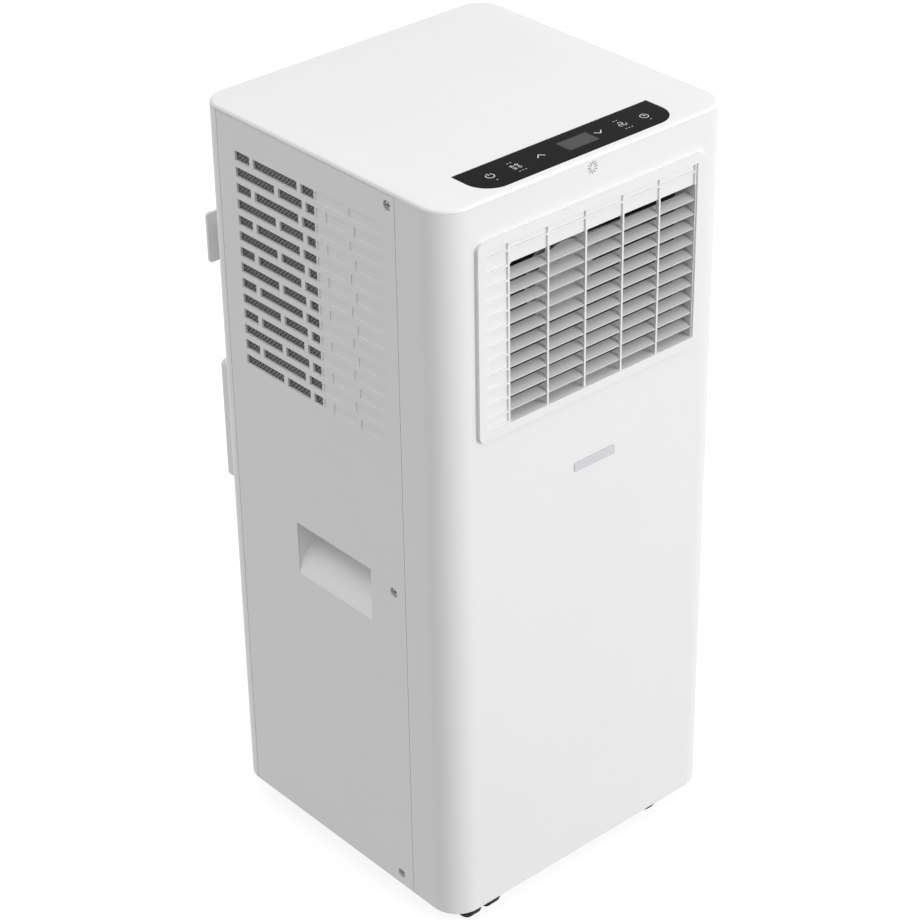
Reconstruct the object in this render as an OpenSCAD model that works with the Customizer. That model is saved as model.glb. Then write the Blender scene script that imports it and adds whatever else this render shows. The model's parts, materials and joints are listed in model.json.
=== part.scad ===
// Free-standing room air conditioner on four swivel casters.
// Millimetres. +X is to the right, -Y is the front, +Z is up.
// The origin is on the floor under the middle of the whole object's box.

/* [Cabinet] */
// Width of the casing
body_w = 314; // [290:1:400]
// Depth of the casing, without the outlet lip and the fittings on the back
body_d = 304; // [290:1:380]
// Height of the casing
body_h = 689; // [640:1:860]
// Gap between the floor and the casing's lower edge
floor_gap = 22; // [20:1:26]
// Thickness of the moulded casing walls
wall = 2.5; // [2:0.1:3.5]
// Radius of the two front upright corners
front_corner_r = 27; // [25:1:50]
// Radius of the two rear upright corners
rear_corner_r = 24; // [12:1:32]
// Rounding of the top cover's edge, which is also its thickness
top_edge_r = 3; // [2.5:0.5:4]
// How far the front shell wraps back along each side
front_wrap = 55.3; // [52:0.1:62]
// Width of the seam between two casing parts
seam = 0.5; // [0.2:0.1:1]
// Width of the seam between the front shell and the top cover
front_top_seam = 0.15; // [0.1:0.05:0.5]

/* [Air outlet] */
// Width of the outlet frame
outlet_w = 248; // [232:1:252]
// Distance from the casing's top down to the outlet frame
outlet_drop = 34; // [30:1:50]
// Height of the outlet frame
outlet_h = 177; // [172:1:180]
// How far the outlet frame stands out of the front
outlet_lip = 3.5; // [2.5:0.5:6]
// Width of the frame's border
outlet_border = 8; // [6:0.5:10]
// Spacing of the upright ribs
cell_w = 41; // [36:0.5:42]
// Number of turning louvre blades
louvre_count = 10; // [10]
// Spacing of the louvre blades
louvre_pitch = 13.1; // [12.6:0.1:13.4]
// Height of the lowest blade's pins above the frame's lower edge
louvre_rise = 19.5; // [17:0.5:20]
// Depth of a blade, front edge to back edge
louvre_chord = 10.5; // [8:0.5:11]
// Thickness of a blade's front edge
louvre_t = 1.6; // [1.2:0.1:2]
// Tilt of the blades at rest, with the back edge up
louvre_tilt = 20; // [0:1:24]
// Depth of the ribs
rib_d = 3; // [2.5:0.5:3.5]
// Width of the ribs
rib_w = 1.8; // [1.6:0.1:3]
// Length of the crank arm behind each blade's end
crank_l = 9; // [8:0.5:10]

/* [Side grilles] */
// Number of slot rows
grille_rows = 14; // [8:1:14]
// Spacing of the rows
grille_pitch = 14.6; // [13:0.1:15]
// Height of a slot
slot_h = 8.8; // [6:0.1:10]
// Distance from the casing's top down to the first row
grille_drop = 32; // [28:1:60]
// Distance from the casing's back to the first slot
grille_rear = 47; // [40:1:60]
// Distance from the casing's back to the end of the open slots
grille_open = 149; // [120:1:160]
// Distance from the casing's back to the end of the blind slots
grille_end = 232; // [160:1:234]
// Width of the bars between two slots of a row
bridge_w = 5; // [3:0.5:8]
// Depth of the blind slots
blind_d = 0.8; // [0.6:0.1:1.4]

/* [Handles] */
// Length of each hand hold
handle_l = 99; // [80:1:110]
// Height of each hand hold's mouth
handle_h = 53; // [40:1:60]
// Depth of each hand hold
handle_d = 28; // [26:1:30]
// Height of the mouth's lower edge above the casing's lower edge
handle_rise = 271; // [240:1:300]
// Distance from the front of the casing to the hand hold
handle_setback = 100; // [96:1:110]
// Radius of the rolled surface under the fingers
handle_roll_r = 33; // [32:1:60]
// How far the middle of that radius lies below the mouth
handle_roll_drop = 3; // [2:1:16]
// Room for the fingers above the mouth
handle_reach = 23; // [18:1:30]

/* [Control panel] */
// Width of the black glass
glass_w = 211; // [160:1:230]
// Depth of the black glass
glass_d = 40; // [32:1:48]
// Distance from the front of the casing to the glass
glass_setback = 8; // [8:1:14]
// Radius of the glass's two front corners
glass_corner_r = 22; // [6:1:28]
// Thickness of the glass
glass_t = 2; // [1:0.1:2.2]
// How far the glass lies below the casing's top
glass_sink = 0.1; // [0:0.05:0.3]

/* [Casters] */
// Radius of the wheels
wheel_r = 15; // [13:0.5:15]
// Width of one wheel of a pair
wheel_w = 13.5; // [10:0.5:14]
// Thickness of the web between the two wheels
web_t = 10; // [8:0.5:12]
// Distance from the swivel axis to the axle
trail = 12; // [9:0.5:13]
// Radius of the upright stem
stem_r = 4; // [3:0.25:5]
// Radius of the axle
axle_r = 2.5; // [2:0.25:3]
// Distance from the side of the casing to the swivel axis
caster_inset_x = 44; // [42:1:60]
// Distance from the front and the back of the casing to the swivel axis
caster_inset_y = 34.5; // [34.5:0.5:60]
// Way each caster points at rest: front left, front right, rear left, rear right
caster_turn = [-90, 180, 180, 40];

/* [Back] */
// Inner radius of the exhaust duct's collar
exhaust_r = 56; // [50:0.5:56]
// Width of the exhaust frame
exhaust_w = 130; // [128:1:132]
// Height of the exhaust frame
exhaust_h = 120; // [119:0.5:124]
// Depth of the exhaust frame
exhaust_d = 24; // [18:1:30]
// Height of the exhaust's middle above the casing's lower edge
exhaust_rise = 363.5; // [362:0.5:364]
// Distance from the middle of the casing to the exhaust's middle
exhaust_x = 69; // [66:0.5:70]
// Width of the two filter windows
filter_w = 236; // [200:1:240]
// Height of the upper filter window
upper_filter_h = 168; // [120:1:172]
// Height of the lower filter window
lower_filter_h = 230; // [160:1:240]
// Depth of a filter cover
filter_d = 8; // [6:0.5:10]
// Height of the cord hooks' outer plates
hook_h = 47; // [46:1:70]
// Distance from the casing's top down to the middle of the hooks
hook_drop = 143.5; // [100:0.5:160]
// Radius of the hole in the cord gland
cord_r = 3.6; // [3:0.1:4.5]
// Radius of the drain plugs' stems
drain_r = 6; // [5:0.25:8]

/* [Fans] */
// Radius of the upper blower wheel
upper_wheel_r = 72; // [60:1:76]
// Radius of the lower blower wheel
lower_wheel_r = 75; // [60:1:78]
// Number of blades on each wheel
fan_blades = 22; // [12:1:26]
// Radius of the motor shafts
shaft_r = 4; // [3:0.25:5]

/* [Fits] */
// Radial running clearance of shafts and pins
run_gap = 0.05; // [0.02:0.01:0.08]
// Gap round fixed pieces that fit into openings
fit_gap = 0.4; // [0.2:0.05:0.6]

/* [Hidden] */
$fn = 64;
eps = 0.01;
function louvre_name(k) = str("louvre_", k < 9 ? "0" : "", k + 1);
corner_names = ["fl", "fr", "rl", "rr"];

white = [0.93, 0.93, 0.93];
shade = [0.84, 0.84, 0.84];
black = [0.06, 0.06, 0.06];
dark = [0.2, 0.2, 0.21];
steel = [0.66, 0.66, 0.68];
copper = [0.75, 0.43, 0.26];

// Main planes
front_y = -(outlet_lip + body_d + exhaust_d) / 2 + outlet_lip;
back_y = front_y + body_d;
side_x = body_w / 2;
z_low = floor_gap;
z_top = floor_gap + body_h;
shell_top = z_top - top_edge_r - seam;
front_seam_y = front_y + front_wrap;
rear_seam_y = back_y - rear_corner_r;

// Outlet
outlet_z = z_top - outlet_drop - outlet_h;
face_y = front_y - outlet_lip + 1.5;
sleeve_in = 3.5;
sleeve_back = front_y + 22;
open_right = outlet_w / 2 - outlet_border - 1;
open_left = open_right - 5 * cell_w;
pivot_back = 5.5;
pivot_y = face_y + pivot_back;
pin_r = 1.5;
crank_pin_r = 1.2;
crank_t = 2;
link_t = 2.5;

// Base and casters
pan_z = 2 * wheel_r + 6;
pan_t = 2.5;
pan_floor = pan_z + pan_t;
pan_inset = wall + fit_gap;
pan_rim_top = pan_floor + 22;
stem_top = pan_floor + 10;

// Screws in the side panels
screw_head_r = 4;
screw_r = 2;
boss_r = 6.5;
boss_d = 4;
screw_places = [[front_wrap + 9, body_h - 13], [front_wrap + 15, 315], [front_wrap + 16, 12]];

// Inner layout
tray_z = outlet_z - 12;
coil_t = 26;
evap_y = back_y - grille_open - 4 - coil_t;
plenum_front = sleeve_back + 2;
plenum_back = evap_y - 4;
upper_axis_z = outlet_z + 94;
cond_y = back_y - 58;
scroll_y = cond_y - 64;
scroll_d = 60;
scroll_r = lower_wheel_r + 17;
scroll_x = -side_x + 33 + scroll_r;
scroll_z = z_low + 176;
exhaust_z = z_low + exhaust_rise;
elbow_w = exhaust_w - 2;
elbow_h = exhaust_h + 3;
elbow_y = front_y + handle_setback + handle_l + 4;
upper_window_z = outlet_z + 8;
lower_window_z = z_low + 56;
compressor_x = side_x - 83;
compressor_y = front_y + 80;
compressor_r = 56;
drain_x = 60;
upper_drain_z = outlet_z - 40;
lower_drain_z = pan_floor + 14;
board_t = 1.6;
gland_x = side_x - 42;
gland_z = z_low + 32;

function corner_x(i) = (i % 2 == 0 ? -1 : 1) * (side_x - caster_inset_x);
function corner_y(i) = i < 2 ? front_y + caster_inset_y : back_y - caster_inset_y;
function louvre_z(k) = outlet_z + louvre_rise + k * louvre_pitch;
// Height of a blade's front edge at rest
function edge_z(k) = louvre_z(k) - pivot_back * sin(louvre_tilt);
band_z = edge_z(louvre_count) + louvre_t / 2;

// ---------- helpers ----------
// Rectangle between two corners
module area(x0, x1, y0, y1) {
    translate([x0, y0]) square([x1 - x0, y1 - y0]);
}

// Box between two corners
module block(x0, x1, y0, y1, z0, z1) {
    translate([x0, y0, z0]) cube([x1 - x0, y1 - y0, z1 - z0]);
}

// Rectangle with four round corners
module round_area(x0, x1, y0, y1, r) {
    area(x0 + r, x1 - r, y0, y1);
    area(x0, x1, y0 + r, y1 - r);
    for (x = [x0 + r, x1 - r], y = [y0 + r, y1 - r]) translate([x, y]) circle(r);
}

// Cylinder along +X or +Y from a start point
module rod_x(x, y, z, r, l) {
    translate([x, y, z]) rotate([0, 90, 0]) cylinder(r = r, h = l);
}
module rod_y(x, y, z, r, l) {
    translate([x, y, z]) rotate([-90, 0, 0]) cylinder(r = r, h = l);
}

// Extrudes an outline drawn in X and Z along +Y, from y0 to y1
module slab_y(y0, y1) {
    translate([0, y1, 0]) rotate([90, 0, 0]) linear_extrude(y1 - y0) children();
}

// Extrudes an outline drawn in Y and Z along +X, from x0 to x1
module slab_x(x0, x1) {
    translate([x0, 0, 0]) rotate([90, 0, 90]) linear_extrude(x1 - x0) children();
}

// Plan outline of the casing, moved inwards by inset
module outline(inset = 0) {
    rf = front_corner_r - inset;
    rr = rear_corner_r - inset;
    x = side_x - inset;
    y0 = front_y + inset;
    y1 = back_y - inset;
    area(-x, x, y0 + rf, y1 - rr);
    area(-x + rf, x - rf, y0, y0 + rf + eps);
    area(-x + rr, x - rr, y1 - rr - eps, y1);
    for (s = [-1, 1]) {
        translate([s * (x - rf), y0 + rf]) circle(rf);
        translate([s * (x - rr), y1 - rr]) circle(rr);
    }
}

// The casing's wall between two planes across the depth
module casing_ring(y0, y1, top = shell_top) {
    translate([0, 0, z_low]) linear_extrude(top - z_low) intersection() {
        difference() {
            outline();
            outline(wall);
        }
        area(-side_x - 1, side_x + 1, y0, y1);
    }
}

// Runs its children for the left side, or mirrored for the right one
module on_side(right) {
    mirror([right ? 1 : 0, 0, 0]) children();
}

// ---------- casing ----------
module front_shell() color(white) {
    flange_x = side_x - wall - boss_d;
    difference() {
        casing_ring(front_y - 1, front_seam_y - seam / 2, z_top - top_edge_r - front_top_seam);
        slab_y(front_y - 1, front_y + wall + 1)
            area(-outlet_w / 2 + sleeve_in - fit_gap, outlet_w / 2 - sleeve_in + fit_gap,
                 outlet_z + sleeve_in - fit_gap, outlet_z + outlet_h - sleeve_in + fit_gap);
    }
    // Flanges behind the side panels, which take the screws
    for (s = [0, 1]) on_side(s == 1) difference() {
        union() {
            block(-side_x + wall - eps, -flange_x + wall, front_seam_y - 12, front_seam_y - 9.5,
                  z_low, shell_top - 12);
            block(-flange_x, -flange_x + wall, front_seam_y - 12, front_seam_y + 24,
                  z_low, shell_top - 2);
        }
        for (p = screw_places)
            rod_x(-side_x, front_y + p[0], z_low + p[1], screw_r, 12);
    }
}

// One row of the grille: slots between the bars, from y0 to y1
module slot_row(row, y0, y1) {
    bars = row % 2 == 0 ? [68.4, 130, 190] : [100, 135.5, 161, 196];
    z = z_top - grille_drop - row * grille_pitch - slot_h;
    difference() {
        area(y0, y1, z, z + slot_h);
        for (b = bars)
            area(back_y - b - bridge_w / 2, back_y - b + bridge_w / 2, z - 1, z + slot_h + 1);
    }
}

module side_panel() {
    inner = -side_x + wall;
    hand_y = front_y + handle_setback;
    hand_z = z_low + handle_rise;
    difference() {
        union() {
            casing_ring(front_seam_y + seam / 2, rear_seam_y - seam / 2);
            for (p = screw_places)
                rod_x(inner - eps, front_y + p[0], z_low + p[1], boss_r, boss_d + eps);
        }
        // Only the left half of the ring belongs to this panel
        block(0, side_x + 1, front_y - 1, back_y + 1, 0, z_top + 1);
        slab_x(-side_x - 1, inner + 1)
            for (row = [0:grille_rows - 1])
                slot_row(row, back_y - grille_open, back_y - grille_rear);
        slab_x(-side_x - 1, -side_x + blind_d)
            for (row = [0:grille_rows - 1])
                slot_row(row, back_y - grille_end, back_y - grille_open - 2);
        block(-side_x - 1, inner + 1, hand_y, hand_y + handle_l, hand_z, hand_z + handle_h);
        for (p = screw_places) {
            rod_x(-side_x - 1, front_y + p[0], z_low + p[1], screw_head_r + 0.5, 1 + boss_d);
            rod_x(-side_x - 1, front_y + p[0], z_low + p[1], screw_r + 0.1, 12);
        }
    }
}
module left_side_panel() color(white) on_side(false) side_panel();
module right_side_panel() color(white) on_side(true) side_panel();

// Window in the back with a sleeve and a stop ledge for a filter cover
module window_sleeve(z, h) {
    sleeve = 2;
    ledge = 4;
    deep = filter_d + 5;
    difference() {
        slab_y(back_y - deep, back_y - wall + eps)
            area(-filter_w / 2 - sleeve, filter_w / 2 + sleeve, z - sleeve, z + h + sleeve);
        slab_y(back_y - deep + 2, back_y) area(-filter_w / 2, filter_w / 2, z, z + h);
        slab_y(back_y - deep - 1, back_y)
            area(-filter_w / 2 + ledge, filter_w / 2 - ledge, z + ledge, z + h - ledge);
    }
}

module rear_panel() color(white) {
    difference() {
        union() {
            casing_ring(rear_seam_y + seam / 2, back_y + 1);
            for (z = [upper_drain_z, lower_drain_z])
                rod_y(drain_x, back_y - 16, z, drain_r + 3, 16 - wall + eps);
            rod_y(gland_x, back_y - 6, gland_z, cord_r + 6, 6 - wall + eps);
        }
        slab_y(back_y - wall - 1, back_y + 1) {
            area(-filter_w / 2, filter_w / 2, upper_window_z, upper_window_z + upper_filter_h);
            area(-filter_w / 2, filter_w / 2, lower_window_z, lower_window_z + lower_filter_h);
        }
        rod_y(-exhaust_x, back_y - wall - 1, exhaust_z, exhaust_r + 1, wall + 2);
        for (z = [upper_drain_z, lower_drain_z])
            rod_y(drain_x, back_y - 17, z, drain_r + run_gap, 18);
        rod_y(gland_x, back_y - 7, gland_z, cord_r + 3, 8);
    }
    window_sleeve(upper_window_z, upper_filter_h);
    window_sleeve(lower_window_z, lower_filter_h);
}

// Plan outline of the control glass
module glass_outline(grow = 0) {
    r = glass_corner_r + grow;
    x = glass_w / 2 + grow;
    y0 = front_y + glass_setback - grow;
    y1 = front_y + glass_setback + glass_d + grow;
    area(-x + r, x - r, y0, y1);
    intersection() {
        union() {
            area(-x, x, y0 + r, y0 + 2 * r);
            for (s = [-1, 1]) translate([s * (x - r), y0 + r]) circle(r);
        }
        area(-x, x, y0, y1);
    }
}

module top_cover() color(white) {
    steps = 6;
    skirt = wall + fit_gap;
    difference() {
        // Plate with a quarter-round edge, as a stack of ever smaller outlines
        hull() for (i = [0:steps]) {
            a = 90 * i / steps;
            translate([0, 0, z_top - top_edge_r + (top_edge_r - eps) * sin(a)])
                linear_extrude(eps, $fn = 96) outline(top_edge_r * (1 - cos(a)));
        }
        translate([0, 0, z_top - glass_sink - glass_t]) linear_extrude(glass_t + 1) glass_outline(0.3);
        translate([0, 0, z_top - top_edge_r - 1]) linear_extrude(top_edge_r) glass_outline(-4);
    }
    translate([0, 0, z_top - top_edge_r - 8]) linear_extrude(8 + eps) difference() {
        outline(skirt);
        outline(skirt + 2);
        for (s = [-1, 1])
            translate([s * (side_x - wall - boss_d), front_seam_y + 6]) square([10, 44], true);
    }
}

module base_pan() color(dark) {
    difference() {
        union() {
            translate([0, 0, pan_z]) linear_extrude(pan_t) outline(pan_inset);
            translate([0, 0, pan_z]) linear_extrude(pan_rim_top - pan_z) difference() {
                outline(pan_inset);
                outline(pan_inset + 2);
            }
            for (i = [0:3])
                translate([corner_x(i), corner_y(i), pan_z]) cylinder(r = stem_r + 5, h = stem_top - pan_z);
        }
        for (i = [0:3])
            translate([corner_x(i), corner_y(i), pan_z - 1])
                cylinder(r = stem_r + run_gap, h = stem_top - pan_z + 2);
        // Room for the front shell's flanges, the screw bosses and the rear fittings
        for (s = [0, 1]) on_side(s == 1)
            block(-side_x, -side_x + wall + boss_d + 4.5, front_seam_y - 15, front_seam_y + 27,
                  pan_z - 1, pan_rim_top + 1);
        rod_y(drain_x, back_y - 30, lower_drain_z, drain_r + 3 + fit_gap, 30);
        rod_y(gland_x, back_y - 12, gland_z, cord_r + 6 + fit_gap, 12);
    }
}

// ---------- outlet ----------
module outlet_grille() color(white) {
    x0 = -outlet_w / 2;
    x1 = outlet_w / 2;
    z0 = outlet_z;
    z1 = outlet_z + outlet_h;
    b = outlet_border;
    plate_t = 3;
    pocket = 1.6;
    difference() {
        union() {
            // Raised border
            slab_y(front_y - outlet_lip, front_y) difference() {
                round_area(x0, x1, z0, z1, 6);
                area(x0 + b, x1 - b, z0 + b, z1 - b);
            }
            // Sleeve through the front shell
            slab_y(front_y - eps, sleeve_back) difference() {
                area(x0 + sleeve_in, x1 - sleeve_in, z0 + sleeve_in, z1 - sleeve_in);
                area(x0 + b, x1 - b, z0 + b, z1 - b);
            }
            // Blind column on the left and blind band along the top
            slab_y(face_y, face_y + plate_t) {
                area(x0 + b - eps, open_left, z0 + b - eps, z1 - b + eps);
                area(open_left - eps, x1 - b + eps, band_z, z1 - b + eps);
            }
            // Bearing walls beside the blades
            slab_y(face_y, sleeve_back - 4) {
                area(open_left - 2.5, open_left, z0 + b - eps, band_z);
                area(open_right, x1 - b + eps, z0 + b - eps, band_z);
            }
            // Upright ribs
            slab_y(face_y, face_y + rib_d) for (i = [1:4])
                area(open_left + i * cell_w - rib_w / 2, open_left + i * cell_w + rib_w / 2,
                     z0 + b - eps, band_z + eps);
        }
        // Cells of the blind areas, which carry the pattern of blades and ribs on
        for (k = [0:louvre_count + 2]) {
            z = edge_z(k) - louvre_pitch + louvre_t / 2;
            top = min(z + louvre_pitch - louvre_t, z1 - b - 1);
            if (top > z + 2) {
                slab_y(face_y - 1, face_y + pocket)
                    area(x0 + b + 1, open_left - rib_w, max(z, z0 + b + 1), top);
                if (k > louvre_count) slab_y(face_y - 1, face_y + pocket) for (i = [0:4])
                    area(open_left + i * cell_w + rib_w / 2, open_left + (i + 1) * cell_w - rib_w / 2,
                         z, top);
            }
        }
        // Bearing holes
        for (k = [0:louvre_count - 1]) {
            rod_x(open_left - 4, pivot_y, louvre_z(k), pin_r + run_gap, 5);
            rod_x(open_right - 1, pivot_y, louvre_z(k), pin_r + run_gap, 5);
        }
    }
}

// Profile of a blade in Y and Z, level, with the pins' axis at the origin
module blade_profile() {
    front = -pivot_back;
    back = louvre_chord - pivot_back;
    middle_t = 2.6;
    polygon([[front, 0.5 - louvre_t / 2], [front + 0.5, -louvre_t / 2], [-1.5, -middle_t / 2],
             [1, -middle_t / 2], [back, -louvre_t / 2], [back, louvre_t / 2], [1, middle_t / 2],
             [-1.5, middle_t / 2], [front + 0.5, louvre_t / 2], [front, louvre_t / 2 - 0.5]]);
}

// One blade, with its pins and its crank, at height zero
module louvre_blade() {
    gap = 0.5;
    x0 = open_left + gap;
    x1 = open_right - gap;
    notch = rib_w / 2 + 0.5;
    notch_d = rib_d + 1.7;
    translate([0, pivot_y, 0]) rotate([louvre_tilt, 0, 0]) difference() {
        slab_x(x0, x1) blade_profile();
        // Notches around the fixed ribs
        for (i = [1:4])
            block(open_left + i * cell_w - notch, open_left + i * cell_w + notch,
                  -pivot_back - 1, notch_d - pivot_back, -5, 5);
    }
    rod_x(x1 - eps, pivot_y, 0, pin_r, gap + 3);
    rod_x(open_left - 2.5 - gap - crank_t, pivot_y, 0, pin_r, 2.5 + 2 * gap + crank_t + eps);
    // Crank arm and crank pin, hidden behind the blind column
    crank_x = open_left - 2.5 - gap - crank_t;
    block(crank_x, crank_x + crank_t, pivot_y - pin_r, pivot_y + crank_l + pin_r, -pin_r, pin_r);
    rod_x(crank_x - link_t - 1, pivot_y + crank_l, 0, crank_pin_r, link_t + 1 + eps);
}
module louvre(k) color(white) translate([0, 0, louvre_z(k)]) louvre_blade();

module louvre_link() color(shade) {
    x1 = open_left - 2.5 - 0.5 - crank_t - 0.4;
    difference() {
        block(x1 - link_t, x1, pivot_y + crank_l - 3, pivot_y + crank_l + 3,
              louvre_z(0) - 4, louvre_z(louvre_count - 1) + 4);
        for (k = [0:louvre_count - 1])
            rod_x(x1 - link_t - 1, pivot_y + crank_l, louvre_z(k), crank_pin_r + run_gap, link_t + 2);
    }
}

// ---------- control panel and badge ----------
module control_glass() color(black)
    translate([0, 0, z_top - glass_sink - glass_t]) linear_extrude(glass_t) glass_outline();

module control_board() color([0.1, 0.35, 0.2])
    translate([0, 0, z_top - top_edge_r - 2.2]) linear_extrude(board_t) glass_outline(-6);

module front_badge() color(steel) {
    badge_z = outlet_z - 67;
    slab_y(front_y - 0.8, front_y) round_area(-17, 29, badge_z - 4.5, badge_z + 4.5, 2);
}

// ---------- hand holds ----------
module handle_cup() {
    t = 2.5;
    y0 = front_y + handle_setback;
    y1 = y0 + handle_l;
    z0 = z_low + handle_rise;
    z1 = z0 + handle_h;
    inner = -side_x + wall;
    deep = -side_x + handle_d;
    roll_x = -side_x + sqrt(pow(handle_roll_r, 2) - pow(handle_roll_drop, 2));
    roll_z = z0 - handle_roll_drop;
    difference() {
        union() {
            block(inner, deep + t, y0 - t, y1 + t, z0 - t, z1 + handle_reach + t);
            block(-side_x, inner + eps, y0 + 0.2, y1 - 0.2, z0 + 0.2, z1 - 0.2);
        }
        // Hollow above the roll
        difference() {
            block(-side_x - 1, deep, y0 + 0.2, y1 - 0.2, z0, z1 + handle_reach);
            rod_y(roll_x, y0 - 5, roll_z, handle_roll_r, handle_l + 10);
        }
        // Hollow under the roll
        intersection() {
            block(-side_x - 1, deep + t + 1, y0 + 0.2, y1 - 0.2, z0 - t - 1, z1);
            rod_y(roll_x, y0 - 5, roll_z, handle_roll_r - t, handle_l + 10);
        }
    }
}
module left_handle_cup() color(shade) on_side(false) handle_cup();
module right_handle_cup() color(shade) on_side(true) handle_cup();

// ---------- filters ----------
filter_rim = 9;
module filter_cover(z, h) {
    x = filter_w / 2 - fit_gap;
    z0 = z + fit_gap;
    z1 = z + h - fit_gap;
    rim = filter_rim;
    bar = 3.2;
    rows = floor((z1 - z0 - 2 * rim) / 11);
    step = (z1 - z0 - 2 * rim) / rows;
    slab_y(back_y - filter_d, back_y) difference() {
        area(-x, x, z0, z1);
        area(-x + rim, x - rim, z0 + rim, z1 - rim);
    }
    // Bars across, and three uprights behind them
    slab_y(back_y - 4, back_y) for (i = [1:rows - 1])
        area(-x + rim - eps, x - rim + eps, z0 + rim + i * step - bar / 2, z0 + rim + i * step + bar / 2);
    slab_y(back_y - filter_d + 2, back_y - 3) for (u = [-1, 0, 1])
        area(u * x / 2 - 2, u * x / 2 + 2, z0 + rim - eps, z1 - rim + eps);
    // Pull tab
    slab_y(back_y - eps, back_y + 3) round_area(-16, 16, z1 - 7, z1 - 2, 1.5);
}
module upper_filter_cover() color(white) filter_cover(upper_window_z, upper_filter_h);
module lower_filter_cover() color(white) filter_cover(lower_window_z, lower_filter_h);

module filter_mesh(z, h) {
    inset = fit_gap + filter_rim + 0.1;
    slab_y(back_y - filter_d + 1, back_y - filter_d + 2)
        area(-filter_w / 2 + inset, filter_w / 2 - inset, z + inset, z + h - inset);
}
module upper_filter_mesh() color(dark) filter_mesh(upper_window_z, upper_filter_h);
module lower_filter_mesh() color(dark) filter_mesh(lower_window_z, lower_filter_h);

// ---------- refrigeration ----------
// A finned block with U-bends along its right end
module coil(x, y, z0, z1) {
    tube = 4;
    bend = 11;
    bends = floor((z1 - z0) / (4 * bend)) - 1;
    block(-x, x, y, y + coil_t, z0, z1);
    for (i = [0:bends]) translate([x - eps, y + coil_t / 2, z0 + (4 * i + 2) * bend])
        rotate([90, 0, 0]) rotate([0, 0, -90]) rotate_extrude(angle = 180) translate([bend, 0]) circle(tube);
}
module condenser_coil() color(steel)
    coil(side_x - 37, cond_y, pan_floor + 22, exhaust_z - elbow_h / 2 - 3);
module evaporator_coil() color(steel) coil(side_x - 37, evap_y, tray_z + 6, z_top - 30);

module compressor() color(black) {
    body_z = pan_floor + 15;
    tall = 200;
    translate([compressor_x, compressor_y, body_z - 3]) cylinder(r = 70, h = 3);
    translate([compressor_x, compressor_y, body_z - eps]) rotate_extrude() {
        area(0, compressor_r - 14, 0, tall);
        area(0, compressor_r, 0, tall - 14);
        translate([compressor_r - 14, tall - 14]) circle(14);
    }
    // Suction accumulator and its strap
    translate([compressor_x - compressor_r - 26, compressor_y - 18, body_z + 36])
        cylinder(r = 22, h = 140);
    block(compressor_x - compressor_r - 26, compressor_x - 20, compressor_y - 24, compressor_y - 12,
          body_z + 96, body_z + 112);
}

module compressor_grommets() color(dark)
    for (a = [30, 150, 270])
        translate([compressor_x + 58 * cos(a), compressor_y + 58 * sin(a), pan_floor])
            cylinder(r = 9, h = 12);

// A round pipe through a list of points
module pipe(points, r) {
    for (i = [0:len(points) - 2]) {
        d = points[i + 1] - points[i];
        l = norm(d);
        translate(points[i]) rotate([0, acos(d[2] / l), atan2(d[1], d[0])]) cylinder(r = r, h = l);
        if (i > 0) translate(points[i]) sphere(r);
    }
}

module refrigerant_pipes() color(copper) {
    top = pan_floor + 15 + 200;
    run_z = z_low + 252;
    evap_x = 100;
    acc_x = compressor_x - compressor_r - 26;
    pipe([[compressor_x + 16, compressor_y, top], [compressor_x + 16, compressor_y, run_z],
          [side_x - 40, compressor_y, run_z], [side_x - 40, cond_y, run_z]], 4);
    pipe([[acc_x, compressor_y - 18, top - 24], [acc_x, compressor_y - 18, run_z + 24],
          [evap_x, compressor_y - 18, run_z + 24], [evap_x, evap_y + 13, run_z + 24],
          [evap_x, evap_y + 13, tray_z + 6]], 4.5);
}

module drip_tray() color(shade) {
    x = side_x - 11;
    difference() {
        block(-x, x, sleeve_back + 4, back_y - 20, tray_z, tray_z + 8);
        block(-x + 2, x - 2, sleeve_back + 6, back_y - 22, tray_z + 3, tray_z + 9);
        translate([100, evap_y + 13, tray_z - 1]) cylinder(r = 6, h = 6);
    }
}

// ---------- fans ----------
// Blower wheel: back plate, blades, rim ring and hub, running from y towards +Y
module blower_wheel(x, y, z, r, w) {
    blade_l = 15;
    translate([x, y, z]) rotate([-90, 0, 0]) difference() {
        union() {
            cylinder(r = r, h = 2);
            cylinder(r = 12, h = w * 0.6);
            translate([0, 0, w - 2]) difference() {
                cylinder(r = r, h = 2);
                translate([0, 0, -1]) cylinder(r = r - blade_l, h = 4);
            }
            for (i = [0:fan_blades - 1]) rotate([0, 0, i * 360 / fan_blades])
                translate([r - blade_l + 0.5, -0.8, 1]) cube([blade_l - 1, 1.6, w - 2]);
        }
        translate([0, 0, -1]) cylinder(r = shaft_r, h = w);
    }
}

// Motor: can, flange and front bearing, running from y towards +Y
module motor(x, y, z, r, l) {
    translate([x, y, z]) rotate([-90, 0, 0]) difference() {
        union() {
            cylinder(r = r - 6, h = l);
            translate([0, 0, 6]) cylinder(r = r, h = l - 12);
        }
        translate([0, 0, 6]) cylinder(r = shaft_r + run_gap, h = l);
    }
}

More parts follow.
